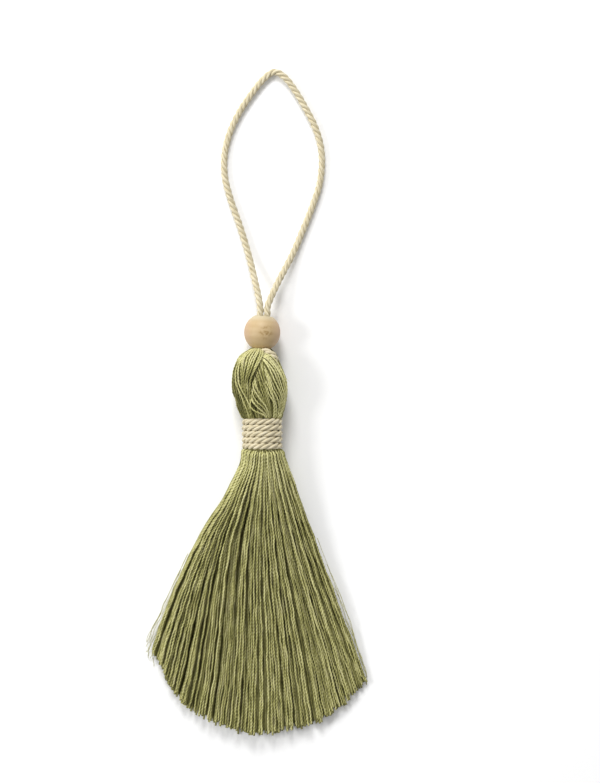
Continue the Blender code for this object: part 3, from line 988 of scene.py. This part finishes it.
HEAD = (
    HeadSection(109.5, 2.0, 2.0, -0.6, 8.0),
    HeadSection(108.2, 3.8, 3.8, -0.6, 8.0),
    HeadSection(107.2, 5.4, 5.4, -0.8, 8.1),
    HeadSection(105.0, 8.1, 7.7, -1.5, 8.8),
    HeadSection(102.6, 9.4, 8.5, -1.8, 9.2),
    HeadSection(99.6, 10.6, 9.3, -1.8, 9.5),
    HeadSection(96.0, 12.0, 9.8, -1.5, 9.7),
    HeadSection(92.0, 12.5, 9.9, -1.2, 9.8),
    HeadSection(88.4, 12.3, 9.8, -1.0, 9.8),
    HeadSection(85.2, 11.4, 9.5, -0.6, 9.5),
    HeadSection(82.2, 10.8, 9.1, -0.5, 9.2),
    HeadSection(79.6, 9.9, 8.6, -0.3, 9.0),
    HeadSection(77.6, 9.2, 8.2, 0.0, 8.9),
    HeadSection(76.4, 7.4, 6.4, 0.0, 8.9),
    HeadSection(74.0, 5.6, 5.0, 0.0, 8.9),
)


def head_size(y):
    """Half width, half depth, middle x and middle z of the head at a height, on a
    smooth curve through its sections."""
    table = through(np.array(HEAD) * MM, 300)[::-1]
    return [np.interp(y, table[:, 0], table[:, column]) for column in range(1, 5)]


def on_head(angle, y, lift):
    """A place on the head: angle 0 is its top, and lift is measured outwards."""
    half_width, half_depth, middle_x, middle_z = head_size(y)
    x = middle_x + (half_width + lift) * np.sin(angle)
    z = middle_z + (half_depth + lift) * np.cos(angle)
    return np.stack((x, y, z), axis=-1)


def head_up(path):
    """Outward direction at each point of paths on the head."""
    _, _, middle_x, middle_z = head_size(path[..., 1])
    outward = (path[..., 0] - middle_x, 0 * middle_x, path[..., 2] - middle_z)
    return unit(np.stack(outward, axis=-1))


# Bundles of head yarns, each with its number of yarns, its disorder and its rows.
# A row is (left_x, left_y, right_x, right_y, lift) in millimetres: both edges of the
# bundle at one station, and how far its yarns lie over the head's surface
BUNDLES = {
    "left_side": (5, 0.4, (
        (-5.5, 107.2, -4.0, 107.8, -0.8),
        (-9.5, 104.2, -7.6, 105.4, -0.6),
        (-12.2, 99.0, -9.8, 101.5, -0.6),
        (-13.7, 93.0, -10.0, 95.0, -0.6),
        (-13.3, 87.6, -9.0, 88.0, -0.7),
        (-11.4, 83.0, -8.2, 83.0, -0.7),
        (-9.6, 79.4, -7.5, 79.4, -0.7),
        (-8.6, 77.4, -7.0, 77.4, -0.8),
    )),
    "left_front": (8, 0.45, (
        (-4.2, 108.2, 0.6, 108.2, -0.9),
        (-7.0, 106.0, 0.8, 105.6, -0.4),
        (-9.2, 103.0, -0.3, 102.6, -0.2),
        (-9.8, 98.5, -2.4, 98.5, -0.2),
        (-9.9, 93.5, -4.6, 93.5, -0.5),
        (-9.6, 88.5, -5.1, 88.5, -0.8),
        (-9.2, 84.0, -5.0, 84.0, -0.9),
        (-8.4, 80.0, -4.2, 80.0, -0.8),
        (-7.4, 77.4, -3.4, 77.4, -0.8),
    )),
    "centre": (9, 0.45, (
        (-6.6, 90.0, -1.0, 102.6, -2.2),
        (-5.6, 86.6, 0.4, 99.6, -1.0),
        (-4.2, 84.0, 1.2, 96.2, -0.7),
        (-2.4, 82.2, 1.9, 92.5, -0.6),
        (-0.2, 80.8, 2.8, 88.0, -0.6),
        (1.6, 79.4, 4.0, 83.0, -0.7),
        (2.6, 77.4, 4.6, 77.4, -0.9),
    )),
    "right_centre": (5, 0.45, (
        (1.4, 92.6, 1.8, 100.6, -1.9),
        (2.2, 90.0, 4.0, 96.2, -0.9),
        (3.2, 86.6, 6.2, 91.6, -0.6),
        (4.6, 83.4, 8.2, 87.2, -0.6),
        (5.4, 80.4, 8.8, 82.4, -0.7),
        (5.4, 77.4, 8.1, 77.4, -0.9),
    )),
    "right_shoulder": (6, 0.3, (
        (-0.2, 103.4, 0.6, 106.2, -1.8),
        (1.6, 101.0, 4.0, 105.2, -0.2),
        (3.4, 97.6, 7.2, 101.8, 0.1),
        (5.0, 94.2, 9.8, 97.2, 0.0),
        (6.9, 90.4, 11.2, 92.6, -0.2),
        (8.4, 86.6, 11.4, 88.0, -0.3),
        (8.9, 83.0, 10.6, 84.0, -0.4),
        (8.6, 80.0, 9.7, 80.6, -0.6),
        (7.6, 77.4, 8.8, 77.4, -0.8),
    )),
    "left_crossing": (2, 0.2, (
        (-10.6, 103.2, -9.2, 104.6, -0.8),
        (-11.6, 97.6, -9.8, 99.2, 0.3),
        (-11.3, 92.2, -9.4, 94.0, 0.5),
        (-9.9, 87.6, -7.9, 89.6, 0.5),
        (-8.3, 83.6, -6.1, 85.8, 0.1),
        (-7.0, 80.2, -5.0, 81.8, -0.3),
        (-6.3, 77.4, -4.6, 77.4, -0.8),
    )),
    "loose_centre": (4, 0.15, (
        (-5.6, 83.6, -4.2, 94.0, -1.4),
        (-5.0, 81.0, -2.8, 90.6, 0.3),
        (-3.4, 79.8, -0.6, 87.0, 0.9),
        (-1.4, 79.0, 1.6, 83.6, 0.8),
        (0.6, 78.4, 2.9, 80.4, 0.2),
        (1.8, 77.2, 3.6, 77.4, -0.6),
    )),
}

# Base tone of each head bundle, with painted shade: darker across the head's left side, paler
# towards its right shoulder
BUNDLE_TONES_WITH_PAINTED_SHADE = {
    "left_side": 0.05,
    "left_front": 0.24,
    "centre": 0.4,
    "right_centre": 0.8,
    "right_shoulder": 1.0,
    "left_crossing": 0.7,
    "loose_centre": 0.72,
}
HEAD_YARN = 0.45 * MM  # radius of the yarns in the head, stretched over the fold
HEAD_TUCK = 74.4 * MM  # where the yarns end, hidden by the binding


def bundle_paths(rng, count, disorder, rows):
    """Yarns side by side between the two edges of a bundle. Each edge is a smooth
    curve; a yarn keeps its share between them, give or take some disorder, and is
    then laid on the head and led in under the binding."""
    table = np.array(rows) * MM
    steps = 100
    left, right = through(table[:, 0:2], steps), through(table[:, 2:4], steps)
    lift = through(table[:, 4:5], steps)[:, 0]
    share = (np.arange(count) + 0.5) / count
    share = share[:, None] + disorder / count * wander(rng, count, steps, 0.8, 1.0)
    plan = left + (right - left) * share[..., None]
    lift = lift + 0.22 * MM * wander(rng, count, steps, 1.5, 1.0)
    lift = lift + 0.24 * MM * rng.uniform(-1.4, 1.0, (count, 1))
    half_width, _, middle_x, _ = head_size(plan[..., 1])
    sine = np.clip((plan[..., 0] - middle_x) / half_width, -0.995, 0.995)
    angle = np.arcsin(sine)
    tail_y = np.linspace(plan[:, -1, 1], np.full(count, HEAD_TUCK), 9, axis=1)[:, 1:]
    tail_angle = np.repeat(angle[:, -1:], 8, axis=1)
    tail_lift = np.repeat(lift[:, -1:], 8, axis=1)
    angle = np.concatenate((angle, tail_angle), axis=1)
    y = np.concatenate((plan[..., 1], tail_y), axis=1)
    lift = np.concatenate((lift, tail_lift), axis=1)
    return on_head(angle, y, lift)


def round_paths(rng, count, start, end, twist, lift, steps):
    """Yarns that run down the head side by side between two angles, twisting
    round it on the way."""
    share = np.linspace(0.0, 1.0, steps)
    y = 109.0 * MM + (HEAD_TUCK - 109.0 * MM) * share
    angle = start + (end - start) * (np.arange(count)[:, None] + 0.5) / count
    angle = angle + twist * (share - 0.5) + 0.06 * wander(rng, count, steps, 1.0, 1.0)
    height = lift + 0.25 * MM * wander(rng, count, steps, 1.5, 1.0)
    return on_head(angle, y + 0 * angle, height)


def build_head(yarn):
    rng = np.random.default_rng(31)
    core = round_paths(rng, 60, 0.0, 2 * pi, radians(14), -2.2 * MM, 48)
    # Painted highlight: the core's tone is paler towards the head's top and darker below it
    tone = 0.1 + 0.6 * eased((core[..., 1] - 96.0 * MM) / (9.0 * MM))
    up = head_up(core)
    yarn_piece(
        "head_core", rng, core, up, yarn, sides=6, radius=0.85 * MM, tone=tone, plies=False
    )
    back = round_paths(rng, 38, radians(84), radians(276), radians(-10), -0.6 * MM, 84)
    yarn_piece("head_back", rng, back, head_up(back), yarn, radius=HEAD_YARN, tone=0.5)
    fibres("head_fibres", rng, back, 160, 1.2 * MM, 3.5 * MM, yarn)
    for name, (count, disorder, rows) in BUNDLES.items():
        paths = bundle_paths(rng, count, disorder, rows)
        loose = name in ("left_crossing", "loose_centre")
        # Painted highlight: the bundles' yarns are paler towards the head's top; the loose ones
        # are not
        paler = 0.0 if loose else 0.7 * eased((paths[..., 1] - 95.0 * MM) / (9.0 * MM))
        tone = BUNDLE_TONES_WITH_PAINTED_SHADE[name] + paler + np.zeros(paths.shape[:2])
        yarn_piece(
            f"head_{name}",
            rng,
            paths,
            head_up(paths),
            yarn,
            radius=HEAD_YARN * (0.85 if loose else 1.0),
            tone=tone,
            spread=0.06,
        )


# Stage


def build_stage():
    half = 2.0
    points = np.array(((-half, -half, 0), (half, -half, 0), (half, half, 0), (-half, half, 0)))
    floor = mesh_object(
        "floor", points, np.array(((0, 1, 2, 3),)), np.zeros((0, 3), int), {}, {}
    )
    floor.location.z = -0.0001
    floor.data.materials.append(white_paper())


def area_light(name, place, target, size, power):
    data = bpy.data.lights.new(name, "AREA")
    data.shape = "DISK"
    data.size = size
    data.energy = power
    light = bpy.data.objects.new(name, data)
    bpy.context.scene.collection.objects.link(light)
    light.location = place
    aim = Vector(target) - light.location
    light.rotation_euler = aim.to_track_quat("-Z", "Y").to_euler()


def light_scene():
    world = bpy.data.worlds.new("studio")
    bpy.context.scene.world = world
    world.use_nodes = True
    backdrop = world.node_tree.nodes["Background"]
    backdrop.inputs["Color"].default_value = (1.0, 1.0, 1.0, 1.0)
    backdrop.inputs["Strength"].default_value = WORLD_LIGHT
    middle = (*VIEW_MIDDLE, 0.0)
    area_light("key", (-0.15, 1.3, 0.95), middle, 0.6, KEY_POWER)
    area_light("side", (-1.1, 0.15, 0.85), middle, 0.5, SIDE_POWER)
    bpy.context.scene.view_settings.view_transform = "Standard"


def place_camera():
    data = bpy.data.cameras.new("camera")
    data.sensor_width = SENSOR
    data.lens = SENSOR * CAMERA_HEIGHT / VIEW_HEIGHT
    data.clip_start = 0.01
    camera = bpy.data.objects.new("camera", data)
    bpy.context.scene.collection.objects.link(camera)
    camera.location = (*VIEW_MIDDLE, CAMERA_HEIGHT)
    bpy.context.scene.camera = camera


def build_tassel():
    cotton = laid_cotton()
    yarn = spun_yarn()
    place_camera()
    build_hanging_loop(cotton)
    build_binding(cotton)
    build_bead()
    build_skirt(yarn)
    build_head(yarn)
    build_cord_under_bead(cotton)
    build_stage()
    light_scene()
    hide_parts("yarn_hank")


build_tassel()
